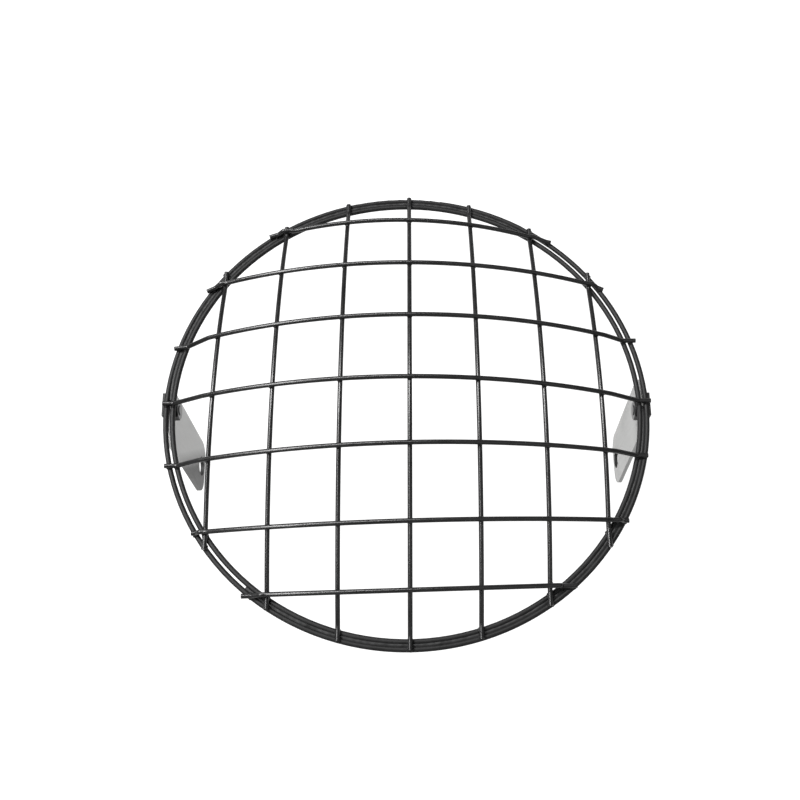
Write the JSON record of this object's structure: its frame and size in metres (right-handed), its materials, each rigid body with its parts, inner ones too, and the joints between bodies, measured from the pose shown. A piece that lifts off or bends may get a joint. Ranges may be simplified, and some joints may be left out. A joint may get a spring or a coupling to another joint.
{
  "type": "motorcycle headlight guard",
  "caption": "Domed welded wire grille on a round double-ring rim, with a flat bolted bracket on each side, that guards a round headlight.",
  "frame": {"origin": "centre of the rim, in the middle plane of its two wire rings", "axes": "+Z along the axis of the dome, out of the lamp towards the crown; +Y to the top of the lamp; +X across, towards the right-hand bracket"},
  "size_m": [0.1939, 0.19, 0.0904],
  "materials": {
    "black_paint": "satin",
    "bracket_zinc": "satin",
    "black_fastener": "satin"
  },
  "bodies": {
    "root": {"cross_wire_1": "black_paint", "cross_wire_2": "black_paint", "cross_wire_3": "black_paint", "cross_wire_4": "black_paint", "cross_wire_5": "black_paint", "cross_wire_6": "black_paint", "cross_wire_7": "black_paint", "down_wire_1": "black_paint", "down_wire_2": "black_paint", "down_wire_3": "black_paint", "down_wire_4": "black_paint", "down_wire_5": "black_paint", "down_wire_6": "black_paint", "down_wire_7": "black_paint", "rim_lug_left": "black_paint", "rim_lug_right": "black_paint", "rim_ring_inner": "black_paint", "rim_ring_outer": "black_paint", "rim_seam_bottom": "black_paint", "rim_seam_top": "black_paint", "side_bolt_left": "black_fastener", "side_bolt_right": "black_fastener", "side_bracket_left": "bracket_zinc", "side_bracket_right": "bracket_zinc", "side_nut_left": "black_fastener", "side_nut_right": "black_fastener", "side_washer_left": "bracket_zinc", "side_washer_right": "bracket_zinc"}
  },
  "joints": []
}
